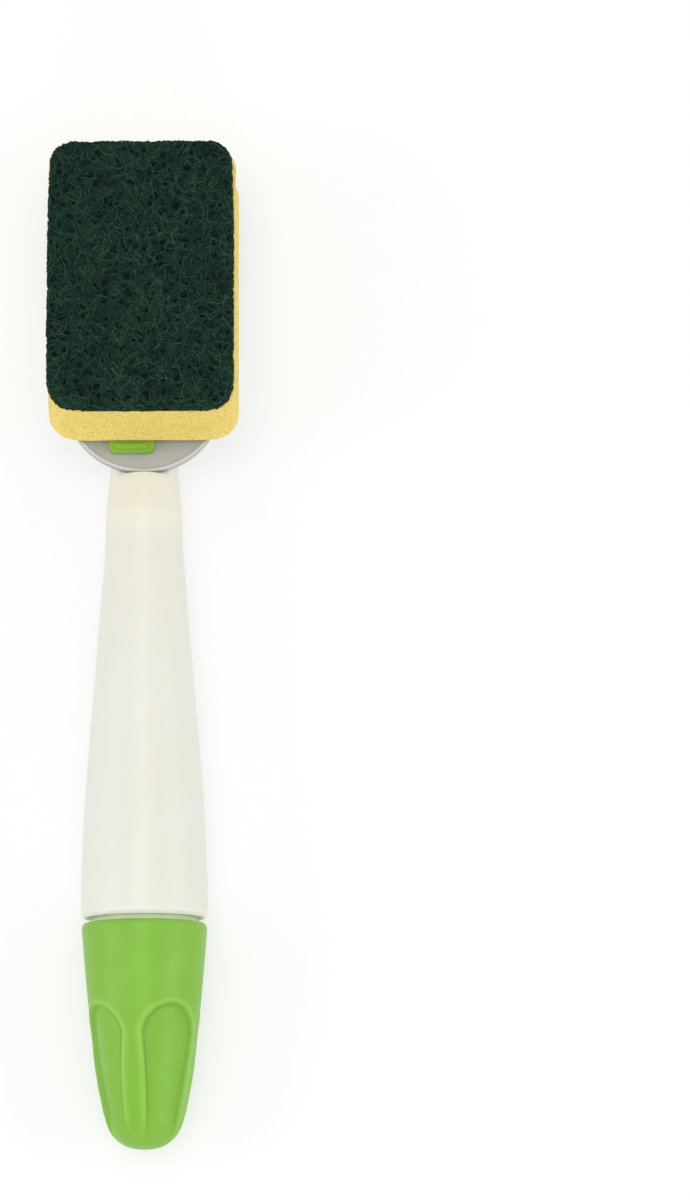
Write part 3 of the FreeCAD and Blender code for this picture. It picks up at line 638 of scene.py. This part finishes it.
padShape = {
    "outlineSpacing": 1.0, "edgeBevel": 0.9, "edgeSteps": 3, "voxel": 0.6,
    "rightTrim": 0.6, "heelReach": 0.3, "tipTaper": 0.5, "taperFrom": 62.0,
    "glueEdge": (0.2, 1.2),  # heights over the foam between which the mat gets rough
    "swell": 0.12,
    "pitCell": 2.1, "pitSize": 0.46, "pitSpread": 0.8, "pitShuffle": 3.7, "pitDepth": 1.2,
    "leastPit": 0.05,
    "roughness": 0.3, "roughCell": 1.2, "roughOctaves": 3,
    "fibres": 3600, "fibreRadius": 0.18, "fibreLength": (2.2, 6.0), "fibreLift": (-0.15, 0.3),
    "fibrePoints": 4, "fibreCurl": 0.8, "fibreTones": (0.15, 1),
    "fibreFrom": 0.5, "fibreLowest": 0.25,  # heights over the foam
    "fibreOffPits": 0.6,
    "steepBelow": 0.6, "steepDip": 0.3,  # on the sides fibres lie more level
    "seed": 21,
}


def scourMaterial(name, light, dark, attribute):
    # the attribute runs from 0 in the pits, or for a dark fibre, to 1; the dark pits are painted
    # shade, while the fibres' tones differ at random
    material, tree, shader, place = startMaterial(name, 0.75)
    fine = noiseLevel(tree, place, 650, 3, 0.3, 0.7, toLow=0.55)
    broad = noiseLevel(tree, place, 90, 3, 0.3, 0.7, toLow=0.7)
    level = ownLevel(tree, attribute)
    for share in (fine, broad):
        product = tree.nodes.new("ShaderNodeMath")
        product.operation = "MULTIPLY"
        tree.links.new(level, product.inputs[0])
        tree.links.new(share, product.inputs[1])
        level = product.outputs[0]
    tree.links.new(mixTone(tree, level, dark, light), shader.inputs["Base Color"])
    shader.inputs["Specular IOR Level"].default_value = 0.12
    nap = noiseLevel(tree, place, scale=2200, detail=2, low=0.2, high=0.8)
    addBump(tree, shader, nap, distance=0.00006, strength=0.7)
    return material


def padBlank():
    # rounded slab, remeshed to even facets
    shape, inset = padShape, sponge["padInset"]
    heel, tip = sponge["heel"], sponge["tip"]
    bm = bmesh.new()
    roundedOutline(
        bm, sponge["halfWide"] - inset, heel + inset, tip - inset, sponge["corner"] - inset,
        shape["outlineSpacing"],
    )
    for vert in bm.verts:
        vert.co -= outlineAway(vert.co, *spongeBox) * wornInset(vert.co)
        share = vert.co.x / sponge["halfWide"]
        vert.co.x -= share * shape["tipTaper"] * smoothStep(shape["taperFrom"], tip, vert.co.y)
        vert.co.x -= max(share, 0) * shape["rightTrim"]
        vert.co.y -= shape["heelReach"] * (1 - smoothStep(heel, tip, vert.co.y))
    bmesh.ops.translate(bm, vec=(0, 0, sponge["foamTop"]), verts=bm.verts)
    raised = bmesh.ops.extrude_face_region(bm, geom=bm.faces[:])
    lifted = [item for item in raised["geom"] if isinstance(item, bmesh.types.BMVert)]
    bmesh.ops.translate(bm, vec=(0, 0, sponge["padTop"] - sponge["foamTop"]), verts=lifted)
    rim = [e for e in bm.edges if all(v.co.z > sponge["padTop"] - 0.01 for v in e.verts)]
    bmesh.ops.bevel(
        bm, geom=rim, offset=shape["edgeBevel"], segments=shape["edgeSteps"], profile=0.5,
        affect="EDGES", material=-1,
    )
    bmesh.ops.recalc_face_normals(bm, faces=bm.faces)
    mesh = bpy.data.meshes.new("padBlank")
    bm.to_mesh(mesh)
    bm.free()
    slab = addObject("padBlank", mesh)
    remesh = slab.modifiers.new("even", "REMESH")
    remesh.mode = "VOXEL"
    remesh.voxel_size = shape["voxel"]
    return takeMesh(slab)


def pressPits(bm):
    shape = padShape
    glued, free = (sponge["foamTop"] + height for height in shape["glueEdge"])
    pit = bm.verts.layers.float.new("pit")
    moves = []
    for vert in bm.verts:
        distances, centres = noise.voronoi(vert.co / shape["pitCell"])
        shuffle = noise.noise(centres[0] * shape["pitShuffle"])
        size = shape["pitSize"] * (1 + shape["pitSpread"] * shuffle)
        depth = max(0, 1 - (distances[0] / size) ** 2) if size > shape["leastPit"] else 0
        # the pit level also darkens the pits as painted shade in the material
        vert[pit] = 1 - depth
        rough = noise.turbulence(vert.co / shape["roughCell"], shape["roughOctaves"], True)
        dent = shape["pitDepth"] * depth + shape["roughness"] * rough
        moves.append(vert.normal * (shape["swell"] - dent) * smoothStep(glued, free, vert.co.z))
    for vert, move in zip(bm.verts, moves):
        vert.co += move
    bm.normal_update()
    return pit


def layFibres(bm, pit):
    # each fibre follows the mat's surface for a few millimetres, over the pits
    shape, foamTop = padShape, sponge["foamTop"]
    surface = BVHTree.FromBMesh(bm)
    starts = [
        vert for vert in bm.verts
        if vert.co.z > foamTop + shape["fibreFrom"] and vert[pit] > shape["fibreOffPits"]
    ]
    dice = random.Random(shape["seed"])
    fibres = []
    for _ in range(shape["fibres"]):
        start = dice.choice(starts)
        side = start.normal.orthogonal().normalized()
        side.rotate(Matrix.Rotation(dice.uniform(0, math.tau), 3, start.normal))
        if abs(start.normal.z) < shape["steepBelow"]:
            side.z *= shape["steepDip"]
        length = dice.uniform(*shape["fibreLength"])
        curl = dice.uniform(-shape["fibreCurl"], shape["fibreCurl"])
        point, points = start.co.copy(), []
        for _ in range(shape["fibrePoints"]):
            near, normal = surface.find_nearest(point)[:2]
            spot = near + normal * dice.uniform(*shape["fibreLift"])
            points.append((spot.x, spot.y, max(spot.z, foamTop + shape["fibreLowest"])))
            side.rotate(Matrix.Rotation(curl, 3, normal))
            point = near + side * length / (shape["fibrePoints"] - 1)
        fibres.append(points)
    web = bmesh.new()
    web.from_mesh(curveMesh(fibres, shape["fibreRadius"]))
    tone = web.verts.layers.float.new("tone")
    perFibre = len(web.verts) // len(fibres)
    tones = [dice.uniform(*shape["fibreTones"]) for _ in fibres]
    for vert in web.verts:
        vert[tone] = tones[vert.index // perFibre]
    return web


def makePad():
    bm = bmesh.new()
    bm.from_mesh(padBlank())
    bm.normal_update()
    pit = pressPits(bm)
    web = layFibres(bm, pit)
    # the mat's dark pits are painted shade
    matGreen = scourMaterial("scourMat", srgb(22, 50, 38), srgb(3, 15, 10), "pit")
    mat = finishPiece("scouringPad", bm, headFrame, matGreen, "refill", 80)
    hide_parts("scourer")
    fibreGreen = scourMaterial("scourFibre", srgb(52, 92, 72), srgb(9, 30, 21), "tone")
    finishPiece("scouringFibres", web, headFrame, fibreGreen, "refill", 80)


makePad()
print("scouring pad felted")


# lip round the open heel of the head plate

plateLip = {
    "centre": 23.0, "radius": 22.45, "halfSweep": 52, "steps": 72,
    "rise": 0.28, "wide": 0.95, "roundSteps": 8,
    "sunk": 0.02, "root": 0.15,  # depths under the plate's face
}


def makePlateLip():
    shape = plateLip
    bm = bmesh.new()
    turn = math.radians(shape["halfSweep"])
    heel = shape["centre"] - shape["radius"]
    section = [bm.verts.new((0, heel, -shape["root"]))]
    for step in range(shape["roundSteps"] + 1):
        angle = math.pi * step / shape["roundSteps"]
        across = shape["wide"] / 2 * math.cos(angle)
        height = shape["rise"] * math.sin(angle) - shape["sunk"]
        section.append(bm.verts.new((0, heel + across, height)))
    face = bm.faces.new(section)
    centre = (0, shape["centre"], 0)
    bmesh.ops.rotate(bm, verts=section, cent=centre, matrix=Matrix.Rotation(-turn, 3, "Z"))
    bmesh.ops.spin(
        bm, geom=[face], cent=centre, axis=(0, 0, 1), dvec=(0, 0, 0), angle=2 * turn,
        steps=shape["steps"],
    )
    bmesh.ops.recalc_face_normals(bm, faces=bm.faces)
    # the lip's lighter tone is a painted highlight
    finishPiece("plateLip", bm, headFrame, lipLitMilky, "handle")


makePlateLip()
print("plate lip run round the heel")


# colour view: standard transform

bpy.context.scene.view_settings.view_transform = "Standard"
print("scene ready")
